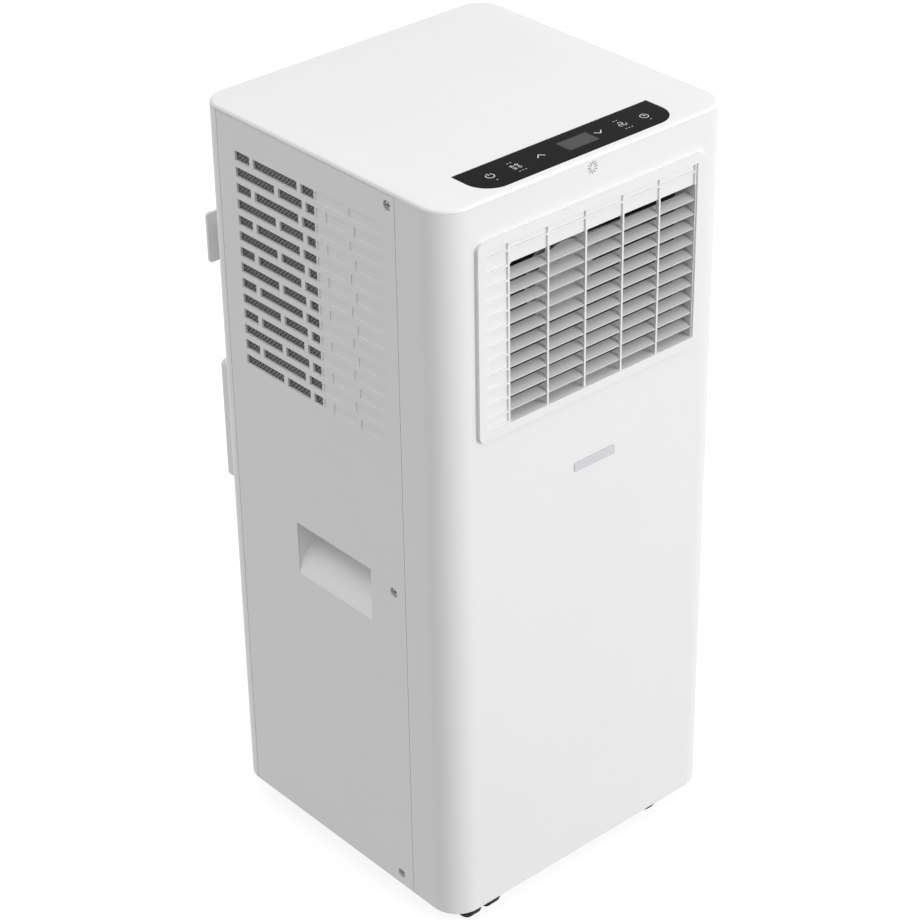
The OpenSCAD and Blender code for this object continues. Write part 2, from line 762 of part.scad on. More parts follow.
upper_wheel_y = plenum_back - 46;
upper_motor_y = plenum_front + 8;
upper_motor_l = 32;
module upper_volute() color(dark) {
    x = side_x - 31;
    z0 = tray_z + 8;
    z1 = z_top - 17;
    t = 2;
    difference() {
        block(-x, x, plenum_front, plenum_back, z0, z1);
        block(-x + t, x - t, plenum_front - 1, plenum_back - t, z0 + t, z1 - t);
        rod_y(0, plenum_back - t - 1, upper_axis_z, upper_wheel_r - 12, t + 2);
    }
}
module upper_wheel() color(black) blower_wheel(0, upper_wheel_y, upper_axis_z, upper_wheel_r, 38);
module upper_shaft() color(steel)
    rod_y(0, upper_motor_y + 7, upper_axis_z, shaft_r, upper_wheel_y + 22 - upper_motor_y - 7);
module upper_motor() color(steel) {
    y = upper_motor_y + upper_motor_l;
    x = side_x - 33;
    motor(0, upper_motor_y, upper_axis_z, 38, upper_motor_l);
    difference() {
        block(-x, x, y - eps, y + 3, upper_axis_z - 8, upper_axis_z + 8);
        rod_y(0, y - 1, upper_axis_z, shaft_r + 1, 5);
    }
}

lower_motor_l = 50;
// Outline of the scroll and of the duct that rises from it
module scroll_outline(t) {
    right = -exhaust_x + elbow_w / 2;
    translate([scroll_x, scroll_z]) circle(scroll_r - t);
    area(scroll_x - scroll_r + t, right - t, scroll_z, exhaust_z + elbow_h / 2 - t);
}
module elbow(t) {
    slab_y(elbow_y + t, back_y - wall + (t > 0 ? -t : 0))
        area(-exhaust_x - elbow_w / 2 + t, -exhaust_x + elbow_w / 2 - t,
             exhaust_z - elbow_h / 2 + t, exhaust_z + elbow_h / 2 - t);
}
module lower_volute() color(dark) {
    t = 2;
    difference() {
        union() {
            slab_y(scroll_y, scroll_y + scroll_d) scroll_outline(0);
            elbow(0);
        }
        slab_y(scroll_y + t, scroll_y + scroll_d - t) scroll_outline(t);
        elbow(t);
        rod_y(scroll_x, scroll_y + scroll_d - t - 1, scroll_z, lower_wheel_r - 14, t + 2);
        rod_y(scroll_x, scroll_y - 1, scroll_z, 20, t + 2);
        rod_y(-exhaust_x, back_y - wall - t - 1, exhaust_z, exhaust_r + 1, t + 2);
    }
}
module lower_wheel() color(black)
    blower_wheel(scroll_x, scroll_y + 7, scroll_z, lower_wheel_r, 46);
module lower_shaft() color(steel)
    rod_y(scroll_x, scroll_y - lower_motor_l + 9, scroll_z, shaft_r, lower_motor_l + 24);
module lower_motor() color(steel) {
    motor(scroll_x, scroll_y - lower_motor_l, scroll_z, 42, lower_motor_l);
    translate([scroll_x, scroll_y - 4, scroll_z]) rotate([-90, 0, 0]) difference() {
        cylinder(r = 50, h = 4);
        translate([0, 0, -1]) cylinder(r = 35, h = 6);
    }
}

module electrical_box() color(steel) {
    x0 = -side_x + 12;
    y0 = front_y + 22;
    t = 1.5;
    difference() {
        block(x0, x0 + 85, y0, y0 + 58, tray_z - 150, tray_z);
        block(x0 + t, x0 + 85 - t, y0 + t, y0 + 60, tray_z - 150 + t, tray_z - t);
    }
}

// ---------- fittings on the back ----------
module exhaust_socket() color(white) {
    x0 = -exhaust_x - exhaust_w / 2;
    x1 = -exhaust_x + exhaust_w / 2;
    z0 = exhaust_z - exhaust_h / 2;
    z1 = exhaust_z + exhaust_h / 2;
    t = 3;
    difference() {
        slab_y(back_y, back_y + exhaust_d) round_area(x0, x1, z0, z1, 5);
        difference() {
            slab_y(back_y + t, back_y + exhaust_d + 1) round_area(x0 + t, x1 - t, z0 + t, z1 - t, 3);
            rod_y(-exhaust_x, back_y, exhaust_z, exhaust_r + 2.5, exhaust_d + 2);
        }
        rod_y(-exhaust_x, back_y - 1, exhaust_z, exhaust_r, exhaust_d + 2);
    }
}

module cord_hooks() color(white) {
    z = z_top - hook_drop;
    for (s = [0, 1]) on_side(s == 1) {
        x = -side_x + 18;
        slab_y(back_y, back_y + 2.5) area(x + 6, x + 18, z - 22, z + 22);
        slab_y(back_y + 2, back_y + exhaust_d - 2) area(x + 7, x + 16, z - 12, z + 12);
        slab_y(back_y + exhaust_d - 3, back_y + exhaust_d)
            round_area(x - 1.5, x + 19, z - hook_h / 2, z + hook_h / 2, 3);
    }
}

module cord_gland() color(black) {
    translate([gland_x, back_y - 8, gland_z]) rotate([-90, 0, 0]) difference() {
        union() {
            cylinder(r = cord_r + 3, h = 8 + eps);
            translate([0, 0, 8]) cylinder(r = cord_r + 6, h = 4);
            translate([0, 0, 12 - eps]) cylinder(r1 = cord_r + 3.4, r2 = cord_r + 1.6, h = 10);
        }
        translate([0, 0, -1]) cylinder(r = cord_r, h = 24);
    }
}

// Rubber plug with a pull tab
module drain_plug(z) {
    rod_y(drain_x, back_y - 14, z, drain_r, 14 + eps);
    rod_y(drain_x, back_y, z, drain_r + 5, 3);
    slab_y(back_y + 3 - eps, back_y + 12) round_area(drain_x - 6, drain_x + 6, z - 1.5, z + 1.5, 1);
}
module upper_drain_plug() color(dark) drain_plug(upper_drain_z);
module lower_drain_plug() color(dark) drain_plug(lower_drain_z);

module case_screws() color(steel) {
    for (s = [0, 1], p = screw_places) on_side(s == 1) difference() {
        union() {
            rod_x(-side_x + boss_d - 2.4, front_y + p[0], z_low + p[1], screw_head_r, 2.4);
            rod_x(-side_x + boss_d - eps, front_y + p[0], z_low + p[1], screw_r, 6);
        }
        translate([-side_x + boss_d - 2.4, front_y + p[0], z_low + p[1]]) {
            cube([2.4, 4.6, 1], center = true);
            cube([2.4, 1, 4.6], center = true);
        }
    }
}

// ---------- casters ----------
// Places a caster piece: swivel axis at the origin, trail along +X, turned to its rest angle
module at_corner(i) {
    translate([corner_x(i), corner_y(i), 0]) rotate([0, 0, caster_turn[i]]) children();
}

module caster_body(i) color(black) at_corner(i) {
    hub_r = 12;
    cap_z = 2 * wheel_r + 2;
    difference() {
        union() {
            slab_y(-web_t / 2, web_t / 2) {
                translate([trail, wheel_r]) circle(hub_r);
                area(-7, trail + hub_r, wheel_r, cap_z + 1);
            }
            translate([0, 0, cap_z]) cylinder(r = 11, h = 3);
            translate([0, 0, cap_z]) cylinder(r = stem_r, h = stem_top - cap_z);
        }
        rod_y(trail, -web_t, wheel_r, axle_r + run_gap, 2 * web_t);
    }
}

module caster_axle(i) color(steel) at_corner(i)
    rod_y(trail, -web_t / 2 - wheel_w + 1, wheel_r, axle_r, web_t + 2 * wheel_w - 2);

module caster_wheels(i) color(black) at_corner(i) {
    shoulder = 3;
    for (s = [-1, 1]) translate([trail, s * (web_t / 2 + 0.5), wheel_r]) rotate([-90 * s, 0, 0])
        rotate_extrude() difference() {
            union() {
                area(axle_r, wheel_r - shoulder, 0, wheel_w - 0.5);
                area(axle_r, wheel_r, 0, wheel_w - 0.5 - shoulder);
                translate([wheel_r - shoulder, wheel_w - 0.5 - shoulder]) circle(shoulder);
            }
            area(axle_r + 3, wheel_r - 4, wheel_w - 2, wheel_w);
        }
}

// ---------- drawing ----------
front_shell();
left_side_panel();
right_side_panel();
rear_panel();
top_cover();
base_pan();
outlet_grille();
for (k = [0:louvre_count - 1])
    louvre(k);
louvre_link();
control_glass();
control_board();
front_badge();
left_handle_cup();
right_handle_cup();
upper_filter_cover();
upper_filter_mesh();
lower_filter_cover();
lower_filter_mesh();
condenser_coil();
evaporator_coil();
compressor();
compressor_grommets();
refrigerant_pipes();
drip_tray();
upper_volute();
upper_wheel();
upper_shaft();
upper_motor();
lower_volute();
lower_wheel();
lower_shaft();
lower_motor();
electrical_box();
exhaust_socket();
cord_hooks();
cord_gland();
upper_drain_plug();
lower_drain_plug();
case_screws();
for (i = [0:3]) {
    caster_body(i);
    caster_axle(i);
    caster_wheels(i);
}
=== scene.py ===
# %% [markdown]
# # A portable air conditioner
#
# The machine is a white moulded cabinet on four swivel casters. The frame brings in every working
# part at its real size, so this notebook only has to make those parts look like what they are:
# moulded plastic, black glass, finned coils and woven screens. It then adds the fine things that
# are too thin for the working model, such as printed symbols and the wires of the screens.

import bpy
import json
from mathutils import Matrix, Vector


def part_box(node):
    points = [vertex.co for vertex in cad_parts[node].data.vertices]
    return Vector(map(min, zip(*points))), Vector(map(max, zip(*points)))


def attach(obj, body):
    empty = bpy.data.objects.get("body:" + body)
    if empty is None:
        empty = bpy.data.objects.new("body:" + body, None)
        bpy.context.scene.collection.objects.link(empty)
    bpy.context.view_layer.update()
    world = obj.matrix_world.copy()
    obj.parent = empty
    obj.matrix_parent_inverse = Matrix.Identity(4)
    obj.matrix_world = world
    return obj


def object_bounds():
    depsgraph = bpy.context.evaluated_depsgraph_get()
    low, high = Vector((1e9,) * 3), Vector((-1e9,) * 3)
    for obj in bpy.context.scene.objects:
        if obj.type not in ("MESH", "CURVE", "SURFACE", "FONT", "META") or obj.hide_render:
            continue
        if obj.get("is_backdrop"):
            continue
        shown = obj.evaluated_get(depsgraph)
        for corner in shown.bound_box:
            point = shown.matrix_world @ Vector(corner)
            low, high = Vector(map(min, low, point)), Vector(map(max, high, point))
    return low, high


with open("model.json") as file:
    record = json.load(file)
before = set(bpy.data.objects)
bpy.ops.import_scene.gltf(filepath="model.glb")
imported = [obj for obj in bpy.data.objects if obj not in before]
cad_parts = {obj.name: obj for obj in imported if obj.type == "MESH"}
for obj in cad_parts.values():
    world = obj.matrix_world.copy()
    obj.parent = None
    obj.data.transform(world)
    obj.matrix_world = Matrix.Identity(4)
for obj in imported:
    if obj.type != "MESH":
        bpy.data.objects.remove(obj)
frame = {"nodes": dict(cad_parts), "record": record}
cad_low, cad_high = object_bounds()
print("cabinet box", [round(v, 4) for v in (*cad_low, *cad_high)])

# %% Tools and units
import json
import math

import bpy
import numpy as np
from mathutils import Matrix, Vector

MM = 0.001
nodes = frame["nodes"]

# %% [markdown]
# ## Formulas in a material
#
# A material is a graph of nodes, and graphs are hard to read in a script. The small class below
# holds one output of one node. Arithmetic on it adds Math nodes, so a pattern can be written as the
# formula that it is. Everything that is not arithmetic goes through one method, which takes the
# node's type, then its settings, then the values or links of its sockets.

# %% A socket that takes part in formulas
class Wire:
    """One output of a shader node. +, * and a number minus it add Math nodes, as new Wires."""

    def __init__(self, tree, output):
        self.tree, self.output = tree, output

    def node(self, kind, sockets, settings=None, output=0):
        """Adds a node of this kind. Settings come first, among them a ramp's stops."""
        made = self.tree.nodes.new("ShaderNode" + kind)
        for name, value in (settings or {}).items():
            if name == "stops":
                for spare in range(len(value) - len(made.color_ramp.elements)):
                    made.color_ramp.elements.new(0.5)
                for element, (position, level) in zip(made.color_ramp.elements, value):
                    element.position, element.color = position, (level, level, level, 1)
            else:
                setattr(made, name, value)
        for name, value in sockets.items():
            if isinstance(value, Wire):
                self.tree.links.new(value.output, made.inputs[name])
            else:
                made.inputs[name].default_value = value
        return Wire(self.tree, made.outputs[output])

    def math(self, operation, *others):
        """A Math node, whose first number is this value."""
        return self.node("Math", dict(enumerate((self, *others))), {"operation": operation})

    def __add__(self, other):
        return self.math("ADD", other)

    def __mul__(self, other):
        return self.math("MULTIPLY", other)

    def __rsub__(self, other):
        return self.math("MULTIPLY_ADD", -1, other)

    __radd__, __rmul__ = __add__, __mul__

    def stretched(self, x, y, z):
        """These coordinates, multiplied along each axis."""
        return self.node("Mapping", {"Vector": self, "Scale": (x, y, z)})

    def noise(self, size, detail=2.0):
        """Soft random mottling from 0 to 1, whose blotches are about size metres across."""
        return self.node("TexNoise", {"Vector": self, "Scale": 1 / size, "Detail": detail})

    def ramp(self, *stops):
        """The value, sent through stops of (position, level)."""
        return self.node("ValToRGB", {"Fac": self}, {"stops": stops})

    def between(self, low, high):
        """The colour that lies between two colours, where this value says how far."""
        sockets = {0: self, 6: (*low, 1), 7: (*high, 1)}
        return self.node("Mix", sockets, {"data_type": "RGBA"}, output=2)


# %% [markdown]
# ## A plain starting point for every finish
#
# Each finish starts as one Principled shader with its constants set on the shader's own sockets.
# Patterns are read from the Object coordinates, which are the same metres as the frame's, so a
# grain of 0.6 mm stays 0.6 mm on every part.

# %% One material, with its shader and its coordinates
class Finish:
    def __init__(self, name, roughness, metallic=0.0, coat=0.0):
        self.material = bpy.data.materials.new(name)
        self.material.use_nodes = True
        self.tree = self.material.node_tree
        self.shader = self.tree.nodes["Principled BSDF"]
        self.set("Roughness", roughness)
        self.set("Metallic", metallic)
        self.set("Coat Weight", coat)
        coordinates = self.tree.nodes.new("ShaderNodeTexCoord")
        self.place = Wire(self.tree, coordinates.outputs["Object"])

    def set(self, name, value):
        """Gives a socket of the shader a constant, or links it to a Wire."""
        if isinstance(value, Wire):
            self.tree.links.new(value.output, self.shader.inputs[name])
        else:
            self.shader.inputs[name].default_value = value

    def bump(self, height, depth):
        """Lets height, from 0 to 1, stand for a relief that is depth metres deep."""
        self.set("Normal", self.place.node("Bump", {"Height": height, "Distance": depth}))


# %% [markdown]
# ## Moulded plastic
#
# The tool that moulds a casing is spark-eroded, and that leaves a fine grain that takes the shine
# off. One function makes every plastic here from its colour, roughness, grain size, grain depth and
# shine. A slow noise moves the colour by a percent or two, which is what the eye reads as a large
# moulding that cooled unevenly.

# %% Plastics and rubber
def moulded(name, colour, roughness=0.4, grain=0.6 * MM, depth=0.03 * MM, drift=0.025, shine=0.5):
    """Base colour = colour x (1 - drift x slow noise); roughness follows a fine grain."""
    made = Finish(name, roughness)
    made.set("Specular IOR Level", shine)
    fine = made.place.noise(grain, 3.0)
    slow = made.place.noise(90 * MM, 2.0)
    darker = [channel * (1 - drift) for channel in colour]
    made.set("Base Color", slow.between(colour, darker))
    made.set("Roughness", fine * 0.14 + (roughness - 0.07))
    made.bump(fine, depth)
    return made.material


casing_white = moulded("casing white", (0.80, 0.80, 0.80), 0.42)
grille_white = moulded("grille white", (0.80, 0.80, 0.80), 0.38, grain=0.4 * MM)
# The blades' white is painted shade: the same white plastic, darkened to stand for the shade inside the
# outlet.
blade_painted_shade = moulded("blade white, painted shade", (0.52, 0.52, 0.52), 0.45, grain=0.4 * MM)
# The handle white is painted light: the same white plastic as the casing, made paler so the hand holds
# look lit from above.
handle_white = moulded("handle white, painted light", (0.90, 0.90, 0.90), 0.36, grain=0.4 * MM)
dark_plastic = moulded("dark plastic", (0.045, 0.045, 0.047), 0.5, grain=0.9 * MM, depth=0.08 * MM)
duct_plastic = moulded("duct plastic", (0.06, 0.06, 0.064), 0.55, grain=1.2 * MM, depth=0.1 * MM)
fan_plastic = moulded("fan plastic", (0.03, 0.03, 0.032), 0.45, drift=0.2)
caster_plastic = moulded("caster plastic", (0.006, 0.006, 0.006), 0.5, drift=0.3, shine=0.15)
caster_wheel = moulded("caster wheel", (0.004, 0.004, 0.004), 0.5, grain=2 * MM, drift=0.4, shine=0.15)
black_rubber = moulded("black rubber", (0.018, 0.018, 0.018), 0.72, grain=0.5 * MM, depth=0.1 * MM,
                       drift=0.35)
net_thread = moulded("net thread", (0.34, 0.34, 0.35), 0.7, grain=0.3 * MM, drift=0.25)
print("plastics", len(bpy.data.materials))

# %% [markdown]
# ## Glass, prints and the board
#
# The control panel is a sheet of glass that is black because of the paint behind it. A nearly black
# base with a smooth surface gives the same two things: a dark depth and a faint reflection. Finger
# grease breaks the reflection up a little, which a slow noise on the roughness stands for.

# %% Black glass
def black_pane():
    """Roughness = 0.05 + smears x 0.12; the smears are slow noise, drawn out sideways."""
    made = Finish("black glass", 0.07)
    smears = made.place.stretched(1, 2.5, 1).noise(28 * MM, 4.0)
    made.set("Base Color", smears.between((0.002, 0.002, 0.0025), (0.005, 0.005, 0.0055)))
    made.set("Roughness", smears.ramp((0.45, 0.0), (0.75, 1.0)) * 0.12 + 0.05)
    made.set("IOR", 1.10)
    return made.material


# %% Printing ink and the circuit board
def ink(name, colour):
    """Flat ink with the slight unevenness that a screen print has."""
    made = Finish(name, 0.5)
    speckle = made.place.noise(0.25 * MM, 2.0)
    thin = [channel * 0.82 for channel in colour]
    made.set("Base Color", speckle.between(colour, thin))
    return made.material


def circuit_board():
    """Green lacquer; copper tracks show as paler bands where a stretched noise is high."""
    made = Finish("circuit board", 0.35)
    tracks = made.place.stretched(1, 7, 1).noise(6 * MM, 1.0).ramp((0.5, 0.0), (0.54, 1.0))
    made.set("Base Color", tracks.between((0.01, 0.09, 0.035), (0.03, 0.19, 0.08)))
    made.bump(tracks, 0.05 * MM)
    return made.material


black_glass = black_pane()
board_green = circuit_board()
symbol_ink = ink("symbol ink", (0.75, 0.76, 0.78))
display_grey = ink("display window", (0.022, 0.022, 0.024))
segment_grey = ink("unlit segments", (0.055, 0.055, 0.06))
mark_ink = ink("grey mark", (0.17, 0.17, 0.18))

# %% [markdown]
# ## Metals
#
# Four metals show or hide in here. Brushed steel gets its direction from a noise that is stretched
# sixty times along the strokes. Galvanised sheet has the flakes of zinc crystals, which a Voronoi
# pattern draws. Copper darkens in patches. The coils are a stack of thin aluminium fins, and the
# gaps between them are painted shade: dark bands drawn by a sine along the coil's length.

# %% Metals
def brushed(name, colour, roughness, strokes):
    """Roughness and a shallow relief from noise, drawn out along one axis."""
    made = Finish(name, roughness, metallic=1.0)
    lines = made.place.stretched(*strokes).noise(0.5 * MM, 3.0)
    worn = [channel * 0.86 for channel in colour]
    made.set("Base Color", lines.between(colour, worn))
    made.set("Roughness", lines * 0.2 + (roughness - 0.1))
    made.bump(lines, 0.01 * MM)
    return made.material


def galvanised():
    """Each zinc crystal is a Voronoi cell with a grey of its own."""
    made = Finish("galvanised sheet", 0.42, metallic=0.9)
    flakes = made.place.node("TexVoronoi", {"Vector": made.place, "Scale": 1 / (7 * MM)}, output=1)
    grey = made.place.node("RGBToBW", {0: flakes})
    made.set("Base Color", grey.between((0.26, 0.27, 0.28), (0.40, 0.41, 0.42)))
    made.set("Roughness", grey * 0.2 + 0.32)
    return made.material


def copper_tube():
    """Bright copper that turns brown where a noise passes its middle."""
    made = Finish("copper tube", 0.3, metallic=1.0)
    tarnish = made.place.noise(22 * MM, 4.0).ramp((0.42, 0.0), (0.68, 1.0))
    made.set("Base Color", tarnish.between((0.80, 0.42, 0.26), (0.33, 0.16, 0.09)))
    made.set("Roughness", tarnish * 0.3 + 0.22)
    return made.material


def finned():
    """Height = 0.5 + 0.5 sin(2 pi x / pitch), for fins 1.7 mm apart; the gaps get painted shade, a dark
    base colour.
    """
    made = Finish("aluminium fins", 0.5, metallic=0.6)
    across = made.place.node("SeparateXYZ", {0: made.place})
    fin_and_gap_shade = (across * (2 * math.pi / (1.7 * MM))).math("SINE") * 0.5 + 0.5
    # The dark end of this mix is painted shade in the gaps between the fins; the pale end is the
    # aluminium.
    made.set("Base Color", fin_and_gap_shade.between((0.05, 0.05, 0.055), (0.45, 0.46, 0.48)))
    made.bump(fin_and_gap_shade, 0.3 * MM)
    return made.material


def enamel():
    """Black stoving paint over a pressed steel shell, with a slight orange peel."""
    made = Finish("black enamel", 0.3, coat=0.4)
    peel = made.place.noise(2.2 * MM, 2.0)
    made.set("Base Color", made.place.noise(60 * MM).between((0.012, 0.012, 0.012), (0.03, 0.03, 0.03)))
    made.bump(peel, 0.06 * MM)
    return made.material


badge_metal = brushed("badge metal", (0.60, 0.60, 0.62), 0.34, (0.02, 1, 1))
plated_steel = brushed("plated steel", (0.42, 0.42, 0.43), 0.36, (1, 0.06, 1))
motor_steel = galvanised()
copper_pipe = copper_tube()
coil_fins = finned()
compressor_black = enamel()
print("finishes", len(bpy.data.materials))

# %% [markdown]
# ## Dress the working parts
#
# The record says which slot each part belongs to, and one table says which finish each slot takes.
# A moulded edge is never sharp: the tool has a small radius everywhere. Four modifiers give the
# parts that radius without touching their meshes. Weld joins the loose triangles, Decimate turns
# each flat side back into one face, a small node group shades round surfaces smoothly, and Bevel
# rounds the edges between the faces. The louvre blades are the same white plastic, but they sit in
# the shade of the outlet, so their base colour is painted darker: this is painted shade.

# %% A finish for each slot
SLOT_FINISH = {
    "casing_white": casing_white, "grille_white": grille_white, "handle_white": handle_white,
    "black_glass": black_glass, "circuit_board": board_green, "badge_metal": badge_metal,
    "dark_plastic": dark_plastic, "filter_mesh": net_thread, "coil_fins": coil_fins,
    "compressor_black": compressor_black, "black_rubber": black_rubber,
    "copper_pipe": copper_pipe, "duct_plastic": duct_plastic, "fan_plastic": fan_plastic,
    "steel": plated_steel, "motor_steel": motor_steel, "caster_plastic": caster_plastic,
    "caster_wheel": caster_wheel,
}
BLADES = [name for name in nodes if name.startswith("louvre_") and name != "louvre_link"]
for part in frame["record"]["subparts"]:
    mesh = nodes[part["node"]].data
    mesh.materials.clear()
    # Blades take the darker white, which is painted shade, not a plastic of another colour.
    in_shade = part["node"] in BLADES
    mesh.materials.append(blade_painted_shade if in_shade else SLOT_FINISH[part["material_slot"]])


# %% Smooth round surfaces
def smooth_by_angle(limit):
    """A node group: every face is shaded smooth, and every edge above the limit stays sharp."""
    group = bpy.data.node_groups.new("smooth by angle", "GeometryNodeTree")
    group.interface.new_socket("Geometry", in_out="INPUT", socket_type="NodeSocketGeometry")
    group.interface.new_socket("Geometry", in_out="OUTPUT", socket_type="NodeSocketGeometry")
    made = {kind: group.nodes.new(kind) for kind in (
        "NodeGroupInput", "NodeGroupOutput", "GeometryNodeInputMeshEdgeAngle", "FunctionNodeCompare")}
    edges, faces = (group.nodes.new("GeometryNodeSetShadeSmooth") for _ in range(2))
    edges.domain, faces.domain = "EDGE", "FACE"
    edges.inputs["Shade Smooth"].default_value = False
    made["FunctionNodeCompare"].operation = "GREATER_THAN"
    made["FunctionNodeCompare"].inputs["B"].default_value = limit
    for source, target in (
            (made["NodeGroupInput"].outputs[0], faces.inputs["Geometry"]),
            (faces.outputs[0], edges.inputs["Geometry"]),
            (made["GeometryNodeInputMeshEdgeAngle"].outputs["Unsigned Angle"],
             made["FunctionNodeCompare"].inputs["A"]),
            (made["FunctionNodeCompare"].outputs[0], edges.inputs["Selection"]),
            (edges.outputs[0], made["NodeGroupOutput"].inputs[0])):
        group.links.new(source, target)
    return group


round_shading = smooth_by_angle(math.radians(24))


# %% Rounded edges
def soften(name, width):
    """Rounds the sharp edges of a working part by width, in the picture only."""
    part = nodes[name]
    weld = part.modifiers.new("join", "WELD")
    weld.merge_threshold = 0.005 * MM
    flatten = part.modifiers.new("flatten", "DECIMATE")
    flatten.decimate_type, flatten.angle_limit = "DISSOLVE", math.radians(0.5)
    part.modifiers.new("shading", "NODES").node_group = round_shading
    if width:
        bevel = part.modifiers.new("edges", "BEVEL")
        bevel.width, bevel.segments = width, 2
        bevel.limit_method, bevel.angle_limit = "ANGLE", math.radians(35)
        bevel.harden_normals = True


EDGE = {
    "front_shell": 0.6, "left_side_panel": 0.3, "right_side_panel": 0.3, "rear_panel": 0.5,
    "outlet_grille": 0.4, "exhaust_socket": 0.6, "cord_hooks": 0.8, "upper_filter_cover": 0.4,
    "lower_filter_cover": 0.4, "front_badge": 0.25, "control_glass": 0.3, "left_handle_cup": 0.15,
    "right_handle_cup": 0.15, "base_pan": 0.5,
}
EDGE.update((name, 0.3) for name in BLADES)
EDGE.update((name, 0.5) for name in nodes if name.startswith(("caster_body", "caster_wheels")))
for name in nodes:
    soften(name, EDGE.get(name, 0) * MM)
print("softened", len(nodes), "parts, rounded", len(EDGE))

# %% [markdown]
# ## New pieces from arrays
#
# New pieces are grids of points that a formula gives, with quads between neighbours. The faces of
# any grid follow from its number of rows and columns alone, so one function serves them all.

# %% Grid faces and mesh objects
def grid_faces(rows, columns, ring=False):
    """Quads of a rows x columns grid; ring joins the last column to the first."""
    r, c = np.meshgrid(np.arange(rows - 1), np.arange(columns if ring else columns - 1), indexing="ij")
    nxt = (c + 1) % columns
    quads = [r * columns + c, r * columns + nxt, (r + 1) * columns + nxt, (r + 1) * columns + c]
    return np.stack(quads, -1).reshape(-1, 4)


def add_piece(name, points, faces, body, material, smooth=False):
    """Makes a mesh object from arrays, which rides on a body of the frame."""
    mesh = bpy.data.meshes.new(name)
    mesh.from_pydata(np.asarray(points).reshape(-1, 3).tolist(), [], [list(f) for f in faces])
    mesh.polygons.foreach_set("use_smooth", np.full(len(mesh.polygons), smooth))
    mesh.materials.append(material)
    piece = bpy.data.objects.new(name, mesh)
    bpy.context.scene.collection.objects.link(piece)
    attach(piece, body)
    print(name, len(mesh.polygons), "faces")
    return piece


# %% [markdown]
# ## Woven screens
#
# Behind the side slots and in the filter covers there is a screen of woven thread. Each thread is
# a square tube that goes over one crossing thread and under the next: its height is a cosine with
# a half turn per crossing, and neighbouring threads are half a turn apart. All threads of one
# direction are worked out as a single array.

# %% Threads of one direction
def threads(along, across, pitch, radius, phase):
    """Tubes along the first axis at each step of the second.

    Centre = (u, v, radius cos(pi (u + v) / pitch + phase)); a square section of half-width
    radius goes round it. Returns points as (u, v, w) and quads, with both ends closed.
    """
    lines = np.arange(across[0] + pitch / 2, across[1], pitch)
    steps = np.arange(along[0], along[1] + pitch / 4, pitch / 2)
    v, u = np.meshgrid(lines, steps, indexing="ij")
    turn = np.pi * (u - along[0] + v - across[0] - pitch / 2) / pitch
    centre = np.stack([u, v, radius * np.cos(turn + phase)], -1)
    corners = radius * 0.8 * np.array([[0, -1, -1], [0, 1, -1], [0, 1, 1], [0, -1, 1]])
    points = centre[:, :, None, :] + corners
    per_line = len(steps) * 4
    quads = grid_faces(len(steps), 4, ring=True)
    ends = np.array([[0, 1, 2, 3], [per_line - 1, per_line - 2, per_line - 3, per_line - 4]])
    one = np.concatenate([quads[:, ::-1], ends])
    starts = np.arange(len(lines))[:, None, None] * per_line
    return points.reshape(-1, 3), (starts + one).reshape(-1, 4)


# %% A screen between two corners
def screen(name, across, up, depth, normal, body, pitch, radius):
    """A woven screen in the plane whose normal is X or Y, with its middle at depth."""
    weft, weft_faces = threads(across, up, pitch, radius, 0)
    warp, warp_faces = threads(up, across, pitch, radius, math.pi)
    warp = warp[:, [1, 0, 2]]
    points = np.concatenate([weft, warp])
    faces = np.concatenate([weft_faces, warp_faces[:, ::-1] + len(weft)])
    if normal == "X":
        points = np.stack([points[:, 2] + depth, points[:, 0], points[:, 1]], -1)
    else:
        points = np.stack([points[:, 0], points[:, 2] + depth, points[:, 1]], -1)
        faces = faces[:, ::-1]
    return add_piece(name, points, faces, body, net_thread)


# %% Side screens, just inside the slots
WALL = 2.5 * MM
SLOT_DROP = 32 * MM
SLOT_ROWS, SLOT_PITCH, SLOT_HEIGHT = 14, 14.6 * MM, 8.8 * MM
SLOTS_FRONT, SLOTS_REAR = 149 * MM, 47 * MM
MARGIN = 2 * MM
BEHIND_WALL = 0.9 * MM
half_width = -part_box("left_side_panel")[0].x
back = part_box("rear_panel")[1].y
slot_top = cad_high.z - SLOT_DROP
slot_foot = slot_top - (SLOT_ROWS - 1) * SLOT_PITCH - SLOT_HEIGHT
for side, sign in (("left", -1), ("right", 1)):
    screen(side + "_side_screen", (back - SLOTS_FRONT - MARGIN, back - SLOTS_REAR + MARGIN),
           (slot_foot - MARGIN, slot_top + MARGIN), sign * (half_width - WALL - BEHIND_WALL), "X",
           "cabinet", 2.2 * MM, 0.42 * MM)

# %% Filter screens, which lie on the filters' cloth and come out with the covers
for which in ("upper", "lower"):
    low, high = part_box(which + "_filter_mesh")
    screen(which + "_filter_screen", (low.x, high.x), (low.z, high.z), high.y, "Y",
           which + "_filter", 3 * MM, 0.3 * MM)

# %% [markdown]
# ## Printed symbols
#
# The touch panel is printed with plain pictograms. Each is a stroke of ink: a path with a width.
# The two edges of a stroke lie half a width to the left and the right of the path, and at a bend
# they are pushed out by 1 / cos(half the bend), so the stroke keeps its width.

